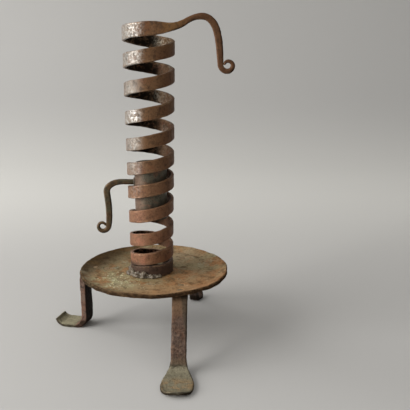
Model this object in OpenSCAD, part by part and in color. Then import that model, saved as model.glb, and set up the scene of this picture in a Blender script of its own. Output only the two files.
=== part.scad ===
// Spiral candle holder of forged iron on a round drip pan with three strap legs.
// A candle cup stands loose inside the spiral and hangs on a scrolled lever that
// passes out between two turns. Turning the lever round the spiral raises the cup
// as the candle burns down. Frame: the spiral's axis is Z, the floor is z = 0, the
// hook arm points to +X and the front leg to -Y. All sizes are in millimetres.

/* [Candle cup] */
// Outside diameter of the cup
cup_d = 25; // [22:0.5:28]
// Height of the cup
cup_h = 43.5; // [36:0.5:50]
// Sheet thickness of the cup wall
cup_wall = 0.9; // [0.6:0.1:1.3]
// Thickness of the cup's round floor
cup_floor_t = 1.5; // [1:0.1:3]
// How far the floor sits above the lower edge of the cup
cup_floor_up = 1; // [0.5:0.1:3]
// How far the tube is drawn in round its floor
cup_neck = 0.2; // [0.15:0.05:0.3]
// How far the lever's bar stands above the lower edge of the cup
lever_up = 28.5; // [22:0.5:34]

/* [Spiral strip] */
// Height of the strip as it stands in the spiral
strip_h = 9.8; // [8.5:0.1:10]
// Height of the strip where it leaves the spiral as the hook arm
strip_h_top = 10.4; // [9.8:0.1:11]
// Thickness of the strip
strip_t = 2.6; // [2:0.1:3]
// Width of the worn bevel along the strip's edges
strip_bevel = 0.5; // [0.3:0.05:0.8]
// Rise of the spiral in one turn
turn_rise = 19.75; // [19:0.25:22]
// Turns from the foot to the hook arm
coil_turns = 9.75; // [8.75:1:11.75]
// Turns over which the rise grows from the foot to the full rise
easing_turns = 2.4; // [2:0.1:2.5]
// How far the middle turns sag below an even rise
sag = 3.1; // [0:0.1:3.5]
// Rise of the strip, per turn, where the arm leaves the spiral
end_rise = 9.6; // [6:0.2:16]
// Play between the cup and the lowest turn
play_foot = 1.7; // [1:0.1:3]
// Play between the cup and the top turn
play_top = 4.5; // [2:0.1:6]
// Length of the flat end that lies on the pan, in turns
foot_turns = 0.55; // [0.3:0.05:0.6]
// Gap that the tapered flat end leaves under the first turn
foot_gap = 0.65; // [0.5:0.05:1]
// Diameter of the tenons that hold the strip's foot in the pan
tenon_d = 2; // [1.4:0.1:2.2]

/* [Hook arm] */
// Reach of the arm from the spiral's front to its drop
arm_reach = 52.5; // [44:0.5:62]
// Rise of the arch above the top turn
arm_rise = 8.5; // [6:0.1:14]
// Fall of the drop from the arch to the scroll's centre
arm_fall = 33.6; // [30:0.2:44]
// Radius of the scroll where it starts
arm_scroll_r = 5.6; // [5.2:0.1:6.4]

/* [Drip pan] */
// Diameter of the pan
pan_d = 118; // [104:1:130]
// Depth of the pan inside
pan_depth = 3; // [2:0.1:5]
// Thickness of the pan
pan_t = 2.2; // [1.5:0.1:3]
// Width of the pan's rising border
pan_border = 11; // [8:0.5:14]
// How far the pan's centre lies from the spiral's axis
pan_shift = 1.8; // [0:0.1:4]

/* [Legs] */
// Height of the pan's rim above the floor
rim_height = 55; // [48:0.5:70]
// Thickness of a leg's strap
leg_t = 5.4; // [4:0.1:6]
// Width of the front leg's strap
front_leg_w = 11.2; // [8:0.1:13]
// Width of the left leg's strap
left_leg_w = 12.4; // [8:0.1:14]
// Width of the rear leg's strap
rear_leg_w = 7.6; // [7:0.1:12]
// Width of the front foot at its toe
front_toe_w = 23.5; // [16:0.5:25]
// Width of the left foot at its toe
left_toe_w = 19; // [16:0.5:25]
// Width of the rear foot at its toe
rear_toe_w = 12; // [11:0.5:20]
// Length of a leg's flat end under the pan
leg_arm = 24; // [22:0.5:28]
// Thickness of a leg's flat end under the pan
leg_arm_t = 3.4; // [2.5:0.1:5]
// Thickness of a foot at its toe
toe_t = 2; // [1.5:0.1:3]
// Diameter of the rivets that hold the legs
rivet_d = 3.2; // [2.5:0.1:4]
// Height of the rivets' domed heads under the legs
rivet_head_h = 1.6; // [1:0.1:2.5]

/* [Lever] */
// Direction in which the lever stands, seen from above
lever_azimuth = 185; // [175:1:195]
// Whole turns of the spiral under the resting lever
rest_turns = 3; // [3:1:6]
// Height of the lever's bar where it passes between the turns
lever_h = 4.1; // [3.4:0.1:4.3]
// Width of the lever's bar
lever_w = 3.2; // [2.4:0.1:4]
// Gap between the resting lever and the turn under it
lever_gap = 0.85; // [0.7:0.05:0.9]
// Reach of the lever from the spiral's axis to its drop
lever_reach = 33.4; // [30:0.2:38]
// Fall of the lever from its bar to the scroll's centre
lever_fall = 35; // [28:0.2:38]
// Radius of the lever's scroll where it starts
lever_scroll_r = 4.8; // [4.4:0.1:5.2]

/* [Solder] */
// Width of the solder round the strip's foot
bead_w = 4; // [2:0.1:6]
// Height of the solder against the strip
bead_h = 3.6; // [2:0.1:5]
// Width of the solder collar round the lever's root
collar_w = 0.9; // [0.5:0.1:1.2]

/* [Hidden] */

// Clearances: hole_fit round a driven pin, turn_fit round the cup's floor, floor_fit
// from that floor to the plain bore above it, skin_fit between solder and its metal
hole_fit = 0.05;
turn_fit = 0.12;
floor_fit = 0.3;
skin_fit = 0.02;
eps = 0.01;

// Rings in one turn of the spiral, and in one bent stretch of a bar
turn_steps = 32;
bend_steps = 10;
round_fn = 96;

// Levels of the pan
pan_floor_z = rim_height - pan_depth;
pan_under_z = pan_floor_z - pan_t;
pan_r = pan_d / 2;

// Turns are counted up the spiral from the point of the foot that lies at +X
foot_z = pan_floor_z + strip_h / 2;
foot_rise = 0.62 * turn_rise;
even_start_z = foot_z + easing_turns * (foot_rise + turn_rise) / 2;
sag_start = easing_turns + 0.6;
sag_turns = 5.5;
flatten_from = coil_turns - 0.25;

function even_z(t) = even_start_z + turn_rise * (t - easing_turns);
function easing_z(t) =
    foot_z + foot_rise * t + (turn_rise - foot_rise) * t * t / (2 * easing_turns);
function sag_z(t) =
    (t > sag_start && t < sag_start + sag_turns)
    ? sag * (1 - cos(360 * (t - sag_start) / sag_turns)) / 2 : 0;
function flatten_z(t) =
    t > flatten_from
    ? (turn_rise - end_rise) * pow(t - flatten_from, 2) / (2 * (coil_turns - flatten_from)) : 0;

// Height of the strip's middle line, of its lower edge and of its upper edge
function mid_z(t) =
    t <= 0 ? foot_z : t < easing_turns ? easing_z(t) : even_z(t) - sag_z(t) - flatten_z(t);
function strip_height(t) = lookup(t, [[coil_turns - 1.2, strip_h], [coil_turns, strip_h_top]]);
function lower_z(t) = mid_z(t) - strip_height(t) / 2;
function upper_z(t) =
    t < 0 ? min(mid_z(t) + strip_h / 2, lower_z(t + 1) - foot_gap) : mid_z(t) + strip_height(t) / 2;

// Inner radius of the spiral, which widens steadily from the foot to the top
function inner_r(t) =
    cup_d / 2 + play_foot + (play_top - play_foot) * max(0, t) / coil_turns;
function mid_r(t) = inner_r(t) + strip_t / 2;
function outward(azimuth) = [cos(azimuth), sin(azimuth), 0];

// A bar's section: a rectangle w by h with bevelled corners, as offsets along two axes
function section(w, h, bevel) =
    let (b = min(bevel, w / 3, h / 3), x = w / 2, y = h / 2)
    [[-x + b, -y], [x - b, -y], [x, -y + b], [x, y - b],
     [x - b, y], [-x + b, y], [-x, y - b], [-x, -y + b]];
function ring(centre, across, up, w, h, bevel) =
    [for (p = section(w, h, bevel)) centre + across * p[0] + up * p[1]];

// Skins a row of rings of equal length with triangles and closes both ends
module skin(rings) {
    n = len(rings[0]);
    last = (len(rings) - 1) * n;
    sides = [for (i = [0:len(rings) - 2], j = [0:n - 1])
        let (a = i * n + j, b = i * n + (j + 1) % n)
        each [[a, b, b + n], [a, b + n, a + n]]];
    ends = [[for (j = [n - 1:-1:0]) j], [for (j = [0:n - 1]) last + j]];
    polyhedron([for (r = rings) each r], concat(sides, ends));
}

// Point and heading of a cubic curve in a plane
function curve_point(c, s) =
    pow(1 - s, 3) * c[0] + 3 * s * pow(1 - s, 2) * c[1]
    + 3 * s * s * (1 - s) * c[2] + pow(s, 3) * c[3];
function curve_slope(c, s) =
    3 * pow(1 - s, 2) * (c[1] - c[0]) + 6 * s * (1 - s) * (c[2] - c[1])
    + 3 * s * s * (c[3] - c[2]);

// A path in a plane is a list of [point, heading, station]: the station counts the
// stretches and sets the bar's size there. A scroll curls from a downward heading until
// its tip nearly meets the bar, and the larger draw is, the sooner it draws in.
function curve_path(c, station, steps) =
    [for (i = [0:steps - 1]) let (s = i / steps)
        [curve_point(c, s), curve_slope(c, s) / norm(curve_slope(c, s)), station + s]];
function scroll_path(centre, r_start, r_end, sweep, draw, station, steps) =
    [for (i = [0:steps]) let (s = i / steps, a = 180 + sweep * s,
        r = r_end + (r_start - r_end) * pow(1 - s, draw))
        [centre + r * [cos(a), sin(a)], [-sin(a), cos(a)], station + s]];

// Rings along a plane path: out is the plane's level direction, side its normal, and
// sizes gives rows of [station, width along side, height in the plane]
function plane_rings(path, origin, out, side, sizes, bevel) =
    let (widths = [for (s = sizes) [s[0], s[1]]], heights = [for (s = sizes) [s[0], s[2]]])
    [for (p = path) ring(
        origin + out * p[0][0] + [0, 0, p[0][1]],
        side, out * -p[1][1] + [0, 0, p[1][0]],
        lookup(p[2], widths), lookup(p[2], heights), bevel)];

// Hook arm: a rising stretch, an arch and a drop, then the scroll
arm_azimuth = 360 * coil_turns;
arm_out = outward(arm_azimuth + 90);
arm_origin = outward(arm_azimuth) * mid_r(coil_turns) + [0, 0, mid_z(coil_turns)];
arm_slope = end_rise / (2 * PI * mid_r(coil_turns));
arm_low = arm_rise - arm_fall;
arm_rising = [
    [0, 0], [0.18 * arm_reach, 0.18 * arm_reach * arm_slope],
    [0.37 * arm_reach, -0.08 * arm_rise], [0.55 * arm_reach, 0.63 * arm_rise]];
arm_arch_up = [
    [0.55 * arm_reach, 0.63 * arm_rise], [0.61 * arm_reach, 0.86 * arm_rise],
    [0.67 * arm_reach, arm_rise], [0.75 * arm_reach, arm_rise]];
arm_arch_down = [
    [0.75 * arm_reach, arm_rise], [0.84 * arm_reach, arm_rise],
    [0.91 * arm_reach, 0.6 * arm_rise], [0.95 * arm_reach, -0.16 * arm_rise]];
arm_drop = [
    [0.95 * arm_reach, -0.16 * arm_rise], [0.975 * arm_reach, -0.66 * arm_rise],
    [arm_reach, 0.6 * arm_low], [arm_reach, arm_low]];
arm_path = concat(
    curve_path(arm_rising, 0, 16), curve_path(arm_arch_up, 1, 8),
    curve_path(arm_arch_down, 2, 10), curve_path(arm_drop, 3, 12),
    scroll_path([arm_reach + arm_scroll_r, arm_low], arm_scroll_r, 0.5 * arm_scroll_r,
        354, 2, 4, 26));
arm_sizes = [
    [0, strip_t, strip_h_top], [0.22, 2.8, 9.7], [0.4, 3, 8.2], [0.62, 3.7, 5.7],
    [1, 4.3, 3.7], [1.6, 4.1, 3.7], [2, 3.9, 4.2], [2.7, 3.4, 4.8], [3.2, 3.2, 5],
    [3.8, 3.3, 4.4], [4, 3.5, 3.9], [4.3, 3.6, 3.4], [4.6, 3.6, 2.6], [4.85, 3.5, 2],
    [5, 3.5, 1.4]];

// Rings of the whole forging, from the tapered end on the pan to the tip of the scroll
coil_rings = [for (i = [round(-foot_turns * turn_steps):coil_turns * turn_steps - 1])
    let (t = i / turn_steps, low = lower_z(t), high = upper_z(t))
    ring(outward(360 * t) * mid_r(t) + [0, 0, (low + high) / 2],
        outward(360 * t), [0, 0, 1], strip_t, high - low, strip_bevel)];
arm_rings = plane_rings(arm_path, arm_origin, arm_out, outward(arm_azimuth), arm_sizes, strip_bevel);

// Least gap of the spiral to itself: upper corners of each ring to the lower corners
// of the rings near it one turn up
self_gap = min([for (i = [0:len(coil_rings) - turn_steps - 4], k = [-3:3], a = [4, 5], b = [0, 1])
    norm(coil_rings[i][a] - coil_rings[i + turn_steps + k][b])]);
echo(least_gap_of_the_spiral_to_itself = self_gap);

// Tenons stand at the middle of the flat end, where the strip lies on the pan
tenon_turns = [-0.08, -0.42];
tenon_head_h = 1.2;
tenon_root = 1.5;

module at_tenons() {
    for (t = tenon_turns)
        translate(outward(360 * t) * mid_r(t))
            children();
}

module spiral_strip() {
    color("#6e4f42") {
        skin(concat(coil_rings, arm_rings));
        at_tenons() {
            translate([0, 0, pan_under_z - tenon_head_h / 2])
                cylinder(d = tenon_d, h = tenon_head_h / 2 + pan_t + tenon_root, $fn = 24);
            translate([0, 0, pan_under_z - tenon_head_h])
                cylinder(d1 = 1.3 * tenon_d, d2 = 2.1 * tenon_d, h = tenon_head_h - skin_fit, $fn = 24);
        }
    }
}

// Drip pan: a flat floor with a border that curves up to the rim
border_from = pan_r - pan_border;
function border_z(s) = pan_depth * pow(s, 1.7);
border_steps = 7;
rim_edge = 0.7;
rim_swell = 1.1;

module pan_profile() {
    inside = [for (i = [0:border_steps]) let (s = i / border_steps)
        [border_from + (pan_border - rim_edge) * s, pan_floor_z + border_z(s)]];
    outside = [for (i = [border_steps:-1:0]) let (s = i / border_steps)
        [border_from + 0.06 * pan_border + 0.94 * pan_border * s,
            pan_under_z + border_z(s) - rim_swell * pow(s, 3)]];
    polygon(concat([[0, pan_floor_z]], inside,
        [[pan_r, rim_height - rim_edge]], outside, [[0, pan_under_z]]));
}

module drip_pan() {
    color("#6b5c3f")
        difference() {
            translate([pan_shift, 0, 0])
                rotate_extrude($fn = round_fn)
                    pan_profile();
            at_tenons()
                translate([0, 0, pan_under_z - 1])
                    cylinder(d = tenon_d + 2 * hole_fit, h = pan_t + 2, $fn = 24);
            at_rivets()
                rivet_hole();
        }
}

// A leg, cut flat where it stands, is [place of its strap under the pan, direction,
// splay from top to ankle, length of the foot, lift of the toe, strap width, toe width,
// spread: the share of the flare that the heel already has, and the share of the toe's
// width that is left at its rounded end]
front_leg_spec = [[0.375, -0.86] * pan_r, -90.5, 18, 37, 2.4, front_leg_w, front_toe_w, 0.64, 0.35];
left_leg_spec = [outward(171) * 0.985 * pan_r, 165, 0.5, 24, 4.2, left_leg_w, left_toe_w, 0.92, 0.84];
rear_leg_spec = [[0.46, 0.83] * pan_r, 73, 12, 13, 3, rear_leg_w, rear_toe_w, 0.62, 0.7];
leg_specs = [front_leg_spec, left_leg_spec, rear_leg_spec];

// Path of a leg: flat end under the pan, bend, strap, bend at the ankle, sole and toe.
// The toe's width follows an ellipse from arc_start to the share left at its end.
ankle_r = 9;
shoulder_r = 6;
foot_sole_t = 3;
strap_bow = 0.4;
strap_ease = 9;
leg_bevel = 0.9;
toe_steps = 8;
arc_start = 0.2;
function leg_path(spec) = let (
    splay = spec[2], foot = spec[3], lift = spec[4],
    arm_z = pan_under_z - leg_arm_t / 2, low = foot_sole_t / 2,
    lean = splay / (arm_z - ankle_r), heel = splay + 0.28 * foot, ball = splay + 0.7 * foot,
    top = [strap_bow, arm_z - shoulder_r - strap_bow],
    ankle = [splay - 1.5 * strap_bow, ankle_r + 1])
    concat(
        curve_path([[-leg_arm, arm_z], [-0.8 * leg_arm, arm_z], [-0.5 * leg_arm, arm_z],
            [-shoulder_r, arm_z]], 0, 4),
        curve_path([[-shoulder_r, arm_z], [-0.4 * shoulder_r, arm_z],
            [0, arm_z - 0.3 * shoulder_r], top], 1, bend_steps),
        curve_path([top, [strap_bow + 6 * lean, arm_z - shoulder_r - strap_ease],
            [splay - 2 * strap_bow - 6 * lean, ankle_r + strap_ease], ankle], 2, bend_steps),
        curve_path([ankle, [splay - strap_bow, 0.45 * ankle_r],
            [splay + 0.1 * foot, low], [heel, low]], 3, bend_steps),
        curve_path([[heel, low], [heel + 1, low], [ball - 1, low], [ball, low]], 4, 3),
        curve_path([[ball, low], [ball + 0.14 * foot, low], [ball + 0.22 * foot, low + 0.3 * lift],
            [splay + foot, low + lift]], 5, toe_steps),
        [[[splay + foot + 0.3, low + lift + 0.35], [0.8, 0.6], 6]]);
function leg_sizes(spec) =
    let (w = spec[5], toe = spec[6], spread = spec[7], arc_end = sqrt(1 - spec[8] * spec[8]))
    concat(
        [[0, w + 1, leg_arm_t], [1.35, w + 0.4, leg_arm_t], [2, w, leg_t], [3, w, leg_t],
            [3.5, w + 0.45 * spread * spread * (toe - w), 0.85 * leg_t],
            [4, w + spread * (toe - w), foot_sole_t], [4.6, toe, foot_sole_t]],
        [for (s = [0:toe_steps]) let (k = s / toe_steps, x = arc_start + (arc_end - arc_start) * k)
            [5 + k, toe * sqrt(1 - x * x), foot_sole_t + (toe_t - foot_sole_t) * k]]);

module leg(spec) {
    out = outward(spec[1]);
    color("#4a3a31")
        difference() {
            skin(plane_rings(leg_path(spec), [spec[0][0] + pan_shift, spec[0][1], 0], out,
                outward(spec[1] - 90), leg_sizes(spec), leg_bevel));
            at_rivets_of(spec)
                rivet_hole();
            translate([-pan_d, -pan_d, -leg_t])
                cube([2 * pan_d, 2 * pan_d, leg_t]);
        }
}

module front_leg() {
    leg(front_leg_spec);
}

module left_leg() {
    leg(left_leg_spec);
}

module rear_leg() {
    leg(rear_leg_spec);
}

// Two rivets hold each leg: flush in the pan's floor, with a domed head under the leg
rivet_sets = [0.38, 0.8];

module at_rivets_of(spec) {
    for (share = rivet_sets)
        translate([spec[0][0] + pan_shift, spec[0][1], 0] - outward(spec[1]) * share * leg_arm)
            children();
}

module at_rivets() {
    for (spec = leg_specs)
        at_rivets_of(spec)
            children();
}

rivet_low_z = pan_under_z - leg_arm_t;
rivet_flare = 0.35 * rivet_d;

module rivet_hole() {
    translate([0, 0, rivet_low_z - 1])
        cylinder(d = rivet_d + 2 * hole_fit, h = leg_arm_t + pan_t + 2, $fn = 24);
    translate([0, 0, pan_floor_z - 0.5 * pan_t])
        cylinder(d1 = rivet_d + 2 * hole_fit, d2 = rivet_d + 2 * rivet_flare + 2 * hole_fit,
            h = 0.5 * pan_t + eps, $fn = 24);
}

module rivet() {
    translate([0, 0, rivet_low_z - rivet_head_h / 2])
        cylinder(d = rivet_d, h = rivet_head_h / 2 + leg_arm_t + pan_t, $fn = 24);
    translate([0, 0, pan_floor_z - 0.5 * pan_t])
        cylinder(d1 = rivet_d, d2 = rivet_d + 2 * rivet_flare, h = 0.5 * pan_t, $fn = 24);
    translate([0, 0, rivet_low_z])
        rotate([180, 0, 0])
            rotate_extrude($fn = 24)
                rivet_head_profile();
}

module rivet_head_profile() {
    polygon(concat([[0, 0]], [for (a = [0:15:90]) [rivet_d * cos(a), skin_fit + rivet_head_h * sin(a)]]));
}

module leg_rivets() {
    color("#54463a")
        at_rivets()
            rivet();
}

// Solder runs round the front and left of the strip's foot, thin at its two ends
bead_from = -205;
bead_to = -62;
bead_steps = 44;
function bead_swell(s) = 0.35 + 0.5 * sin(180 * s) + 0.13 * sin(1290 * s) + 0.1 * sin(2140 * s + 40);

module foot_solder() {
    color("#8d8a80")
        skin([for (i = [0:bead_steps])
            let (s = i / bead_steps, a = bead_from + (bead_to - bead_from) * s,
                r = inner_r(0) + strip_t + skin_fit, w = bead_w * bead_swell(s), h = bead_h * bead_swell(s),
                z = pan_floor_z + skin_fit)
            [for (p = [[0, 0], [w, 0], [0.86 * w, 0.3 * h], [0.45 * w, 0.62 * h], [0.2 * w, h], [0, h]])
                outward(a) * (r + p[0]) + [0, 0, z + p[1]]]]);
}

// The cup: a rolled tube, drawn in a little round the floor inside its lower end
lever_turn = rest_turns + lever_azimuth / 360;
lever_z = upper_z(lever_turn) + lever_gap + lever_h / 2;
cup_z = lever_z - lever_up;
cup_r = cup_d / 2;
cup_bore_r = cup_r - cup_wall;
cup_neck_r = cup_bore_r - cup_neck;
cup_neck_h = cup_floor_up + cup_floor_t + floor_fit;

module cup_wall() {
    color("#6d6f62")
        translate([0, 0, cup_z])
            difference() {
                cylinder(r = cup_r, h = cup_h, $fn = round_fn);
                translate([0, 0, -1])
                    cylinder(r = cup_neck_r, h = cup_neck_h + 2, $fn = round_fn);
                translate([0, 0, cup_neck_h])
                    cylinder(r = cup_bore_r, h = cup_h, $fn = round_fn);
            }
}

module cup_floor() {
    color("#5f6056")
        translate([0, 0, cup_z + cup_floor_up])
            cylinder(r = cup_neck_r - turn_fit, h = cup_floor_t, $fn = round_fn);
}

// Lever: a bar out of the spiral, a bend, a drop and a scroll that curls outward
lever_out = outward(lever_azimuth);
lever_root = cup_r - 0.6;
lever_low = -lever_fall;
lever_bend_fall = 8.2;
lever_bevel = 0.7;
lever_bar = [
    [lever_root, 0], [0.5 * lever_reach, 0], [0.55 * lever_reach, 0.2], [0.68 * lever_reach, 0.2]];
lever_bend = [
    [0.68 * lever_reach, 0.2], [0.86 * lever_reach, 0.2],
    [1.04 * lever_reach, -0.37 * lever_bend_fall], [1.02 * lever_reach, -lever_bend_fall]];
lever_drop = [
    [1.02 * lever_reach, -lever_bend_fall], [0.99 * lever_reach, -1.95 * lever_bend_fall],
    [0.96 * lever_reach, 0.72 * lever_low], [lever_reach, lever_low]];
lever_path = concat(
    curve_path(lever_bar, 0, 8), curve_path(lever_bend, 1, 12), curve_path(lever_drop, 2, 12),
    scroll_path([lever_reach + lever_scroll_r, lever_low], lever_scroll_r, 0.47 * lever_scroll_r,
        350, 1.2, 3, 26));
lever_sizes = [
    [0, lever_w, lever_h], [0.95, lever_w, lever_h], [1.2, lever_w, 1.1 * lever_h],
    [1.7, lever_w, 1.2 * lever_h], [2.2, lever_w, 1.24 * lever_h], [2.8, lever_w, 1.17 * lever_h],
    [3, lever_w, 1.05 * lever_h], [3.3, lever_w, 0.76 * lever_h], [3.6, lever_w, 0.56 * lever_h],
    [3.85, lever_w, 0.46 * lever_h], [4, 0.9 * lever_w, 0.32 * lever_h]];

module lever() {
    color("#4c4335")
        difference() {
            skin(plane_rings(lever_path, [0, 0, lever_z], lever_out, outward(lever_azimuth - 90),
                lever_sizes, lever_bevel));
            translate([0, 0, lever_z - lever_h])
                cylinder(r = cup_r + skin_fit, h = 2 * lever_h, $fn = round_fn);
        }
}

// Solder collar in the corner between the cup and the lever's root
module lever_solder() {
    collar_reach = cup_r + skin_fit + collar_w;
    collar_corner = collar_reach - 0.5 * collar_w;
    half_w = lever_w / 2 + skin_fit;
    half_h = lever_h / 2 + skin_fit;
    color("#a19e94")
        translate([0, 0, lever_z])
            rotate([0, 0, lever_azimuth])
                difference() {
                    translate([0, 0, -half_h - collar_w])
                        linear_extrude(2 * (half_h + collar_w))
                            polygon([
                                [cup_r - 2, -half_w - collar_w], [collar_corner, -half_w - collar_w],
                                [collar_reach, -half_w], [collar_reach, half_w],
                                [collar_corner, half_w + collar_w], [cup_r - 2, half_w + collar_w]]);
                    translate([0, -half_w, -half_h])
                        cube([2 * cup_r, 2 * half_w, 2 * half_h]);
                    translate([0, 0, -lever_h])
                        cylinder(r = cup_r + skin_fit, h = 2 * lever_h, $fn = round_fn);
                }
}

spiral_strip();
drip_pan();
front_leg();
left_leg();
rear_leg();
leg_rivets();
foot_solder();
cup_wall();
cup_floor();
lever();
lever_solder();
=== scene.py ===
"""Dresses the spiral candle holder with its forged and rusted surfaces.

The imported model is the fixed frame. Every new piece is made in metres in that
frame, sits at the origin with its place in its mesh, and rides on the body that
carries it. The forged pieces are worn copies of the frame's own solids.
"""

import logging
import math
from collections.abc import Sequence
from dataclasses import dataclass, field
from enum import Enum
from random import Random

import bmesh
import bpy
import numpy as np
from mathutils import Matrix, Vector, noise


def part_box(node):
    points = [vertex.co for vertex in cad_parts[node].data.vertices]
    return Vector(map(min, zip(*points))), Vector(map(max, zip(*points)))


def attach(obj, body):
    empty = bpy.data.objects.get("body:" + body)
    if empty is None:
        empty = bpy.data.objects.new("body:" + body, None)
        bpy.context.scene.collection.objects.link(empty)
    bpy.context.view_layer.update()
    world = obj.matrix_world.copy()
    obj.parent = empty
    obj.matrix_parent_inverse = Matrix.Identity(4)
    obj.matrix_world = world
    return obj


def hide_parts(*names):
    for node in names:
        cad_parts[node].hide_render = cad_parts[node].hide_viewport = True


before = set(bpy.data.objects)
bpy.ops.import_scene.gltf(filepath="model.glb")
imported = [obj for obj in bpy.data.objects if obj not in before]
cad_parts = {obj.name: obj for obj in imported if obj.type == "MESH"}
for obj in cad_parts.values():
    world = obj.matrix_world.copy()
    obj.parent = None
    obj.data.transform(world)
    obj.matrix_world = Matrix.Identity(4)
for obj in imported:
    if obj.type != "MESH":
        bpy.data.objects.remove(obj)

LOG = logging.getLogger("candle_holder")
MM = 0.001
UP, DOWN, LEFT, RIGHT, FRONT = (0, 0, 1), (0, 0, -1), (-1, 0, 0), (1, 0, 0), (0, -1, 0)
# The strip's left-front side, which mirrors the window lamp to the camera; its polish carries
# painted highlights.
POLISH_GLINT_SIDE = (-0.68, -0.73, 0)
FRONT_LEG_TOE = (0.266, -0.964, 0)
FRONT_LEG_RIGHT = (0.964, 0.266, 0)
FRONT_LEG_LEFT = (-0.964, -0.266, 0)
LEFT_LEG_TOE = (-0.966, 0.259, 0)
LEFT_LEG_INSIDE = (0.966, -0.259, 0)
# Painted shade on bars: darker where they face right or down, away from the window lamp.
PAINTED_SHADE_RIGHT, PAINTED_SHADE_DOWN, PAINTED_SHADE_FROM, PAINTED_SHADE_FULL = 0.8, 0.6, -0.25, 0.55
MERGE = 1e-6
Colour = tuple[float, float, float, float]
Socket = bpy.types.NodeSocket
Value = float | Colour | tuple | Socket


class Body(Enum):
    """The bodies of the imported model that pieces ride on."""

    STAND = "stand"
    CARRIER = "carrier"
    CUP = "cup"


class Mark(Enum):
    """Attributes that a worn copy carries on its points for its material."""

    WEAR = "edge_wear"
    # How dark a point is painted: sootiness, and painted shade where light does not reach.
    SOOT_AND_SHADE = "soot_and_shade"


def screen(red: int, green: int, blue: int) -> Colour:
    """Turns a screen colour into the linear colour that a shader takes.

    Args:
        red: Red from 0 to 255.
        green: Green from 0 to 255.
        blue: Blue from 0 to 255.

    Returns:
        The linear colour with full alpha.
    """
    parts = [c / 255 for c in (red, green, blue)]
    linear = [c / 12.92 if c <= 0.04045 else ((c + 0.055) / 1.055) ** 2.4 for c in parts]
    return (linear[0], linear[1], linear[2], 1.0)


def smooth_step(value: float, low: float, high: float) -> float:
    """Rises smoothly from 0 at low to 1 at high."""
    share = min(1.0, max(0.0, (value - low) / (high - low)))
    return share * share * (3 - 2 * share)


def shaded(normal: Vector) -> float:
    """Returns how much painted shade a bar gets where it faces right or down, away from the window
    lamp.
    """
    return smooth_step(PAINTED_SHADE_RIGHT * normal.x - PAINTED_SHADE_DOWN * normal.z, PAINTED_SHADE_FROM, PAINTED_SHADE_FULL)


class Bench:
    """Places and wires the nodes of one tree."""

    def __init__(self, tree: bpy.types.NodeTree) -> None:
        """Keeps the tree that the nodes go into."""
        self.tree = tree

    def feed(self, target: Socket, value: Value) -> None:
        """Wires a socket to the target, or sets the target to a plain value.

        Args:
            target: The input socket.
            value: What it gets.
        """
        if isinstance(value, bpy.types.NodeSocket):
            self.tree.links.new(value, target)
        else:
            target.default_value = value

    def node(self, kind: str, settings: dict | None = None, **inputs: Value) -> bpy.types.Node:
        """Adds a node.

        Args:
            kind: The node's type name after the word ShaderNode.
            settings: Properties of the node.
            inputs: Values or sockets for its named inputs, with _ for a blank.

        Returns:
            The new node.
        """
        made = self.tree.nodes.new("ShaderNode" + kind)
        for name, value in (settings or {}).items():
            setattr(made, name, value)
        for name, value in inputs.items():
            self.feed(made.inputs[name.replace("_", " ")], value)
        return made

    def cloud(self, place: Value, scale: Value, detail: float = 4.0, rough: float = 0.55,
              twist: float = 0.0) -> Socket:
        """Adds a noise from 0 to 1 over the place given."""
        made = self.node("TexNoise", Vector=place, Scale=scale, Detail=detail,
                         Roughness=rough, Distortion=twist)
        return made.outputs["Fac"]

    def span(self, value: Value, low: float, high: float, start: float = 0.0,
             end: float = 1.0) -> Socket:
        """Maps low to high smoothly onto start to end, and holds the ends."""
        made = self.node("MapRange", {"interpolation_type": "SMOOTHSTEP"}, Value=value,
                         From_Min=low, From_Max=high, To_Min=start, To_Max=end)
        return made.outputs["Result"]

    def mix(self, share: Value, first: Value, second: Value) -> Socket:
        """Mixes two colours.

        Args:
            share: The share of the second colour.
            first: The first colour.
            second: The second colour.

        Returns:
            The mixed colour.
        """
        made = self.node("Mix", {"data_type": "RGBA"})
        self.feed(made.inputs["Factor"], share)
        self.feed(made.inputs[6], first)
        self.feed(made.inputs[7], second)
        return made.outputs[2]

    def combine(self, operation: str, first: Value, second: Value) -> Socket:
        """Combines two values with a Math node.

        Args:
            operation: The node's operation.
            first: The first value.
            second: The second value.

        Returns:
            The result.
        """
        made = self.node("Math", {"operation": operation, "use_clamp": False})
        self.feed(made.inputs[0], first)
        self.feed(made.inputs[1], second)
        return made.outputs[0]

    def times(self, first: Value, second: Value) -> Socket:
        """Multiplies two values."""
        return self.combine("MULTIPLY", first, second)

    def plus(self, first: Value, second: Value) -> Socket:
        """Adds two values."""
        return self.combine("ADD", first, second)

    def minus(self, first: Value, second: Value) -> Socket:
        """Subtracts the second value from the first."""
        return self.combine("SUBTRACT", first, second)


def open_group(name: str, inputs: dict[str, str], outputs: dict[str, str]) -> tuple:
    """Starts a shader node group.

    Args:
        name: The group's name.
        inputs: Socket names with their kinds, Float, Color or Vector.
        outputs: The same for the outputs.

    Returns:
        The group, its bench, the input node's sockets and the output node's sockets.
    """
    tree = bpy.data.node_groups.new(name, "ShaderNodeTree")
    for way, sockets in (("INPUT", inputs), ("OUTPUT", outputs)):
        for socket, kind in sockets.items():
            tree.interface.new_socket(socket, in_out=way, socket_type="NodeSocket" + kind)
    source = tree.nodes.new("NodeGroupInput")
    target = tree.nodes.new("NodeGroupOutput")
    return tree, Bench(tree), source.outputs, target.inputs


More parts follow.
